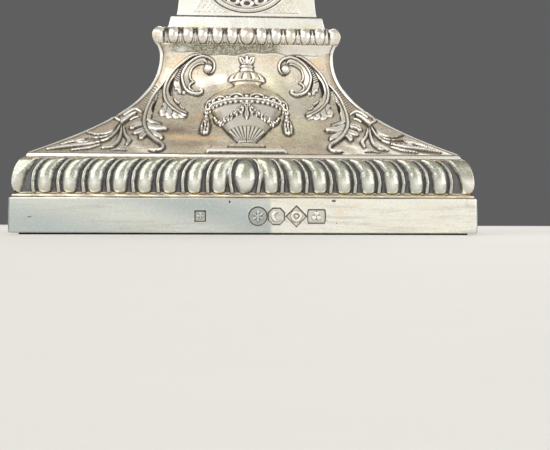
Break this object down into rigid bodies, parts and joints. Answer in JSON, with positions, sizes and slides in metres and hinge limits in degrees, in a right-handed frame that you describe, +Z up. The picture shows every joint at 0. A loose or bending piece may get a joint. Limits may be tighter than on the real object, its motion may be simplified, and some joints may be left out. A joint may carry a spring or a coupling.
{
  "type": "table candlestick",
  "caption": "Square neoclassical table candlestick in embossed silver with a hollow-curved base, tapering square stem, vase-shaped sconce and lift-out nozzle.",
  "frame": {"origin": "middle of the resting face under the base", "axes": "+Z up the stem towards the candle, -Y out of the front side, +X to the right seen from the front"},
  "size_m": [0.114, 0.114, 0.254],
  "materials": {
    "plain_silver": "polished, lightly tarnished",
    "border_silver": "bright with blackened recesses",
    "chased_silver": "soft sheen with tarnish in the ground",
    "wood": "raw",
    "felt": "napped",
    "pitch": "dull, brittle",
    "iron": "blackened"
  },
  "bodies": {
    "candlestick": {"base_board": "wood", "base_filling": "pitch", "base_panel_back": "chased_silver", "base_panel_front": "chased_silver", "base_panel_left": "chased_silver", "base_panel_right": "chased_silver", "block_cornice": "border_silver", "block_panel_back": "chased_silver", "block_panel_front": "chased_silver", "block_panel_left": "chased_silver", "block_panel_right": "chased_silver", "capital": "plain_silver", "egg_and_dart_collar": "border_silver", "felt_pad": "felt", "frieze_rosettes": "chased_silver", "gadroon_border_back": "border_silver", "gadroon_border_front": "border_silver", "gadroon_border_left": "border_silver", "gadroon_border_right": "border_silver", "patera_back": "chased_silver", "patera_front": "chased_silver", "patera_left": "chased_silver", "patera_right": "chased_silver", "sconce_bowl": "chased_silver", "sconce_foot": "plain_silver", "sconce_girdle": "border_silver", "sconce_liner": "plain_silver", "sconce_neck": "chased_silver", "skirt_band": "plain_silver", "steel_rod": "iron", "stem_bead": "border_silver", "stem_filling": "pitch", "stem_panel_back": "chased_silver", "stem_panel_front": "chased_silver", "stem_panel_left": "chased_silver", "stem_panel_right": "chased_silver", "stem_shoulder": "chased_silver", "step_plinth": "plain_silver"},
    "nozzle": {"nozzle_border_back": "border_silver", "nozzle_border_front": "border_silver", "nozzle_border_left": "border_silver", "nozzle_border_right": "border_silver", "nozzle_cup": "plain_silver", "nozzle_pan": "plain_silver"}
  },
  "joints": [
    {"name": "nozzle_lift", "type": "slide", "parent": "candlestick", "child": "nozzle", "axis": [0, 0, 1], "range_m": [0, 0.03]}
  ]
}
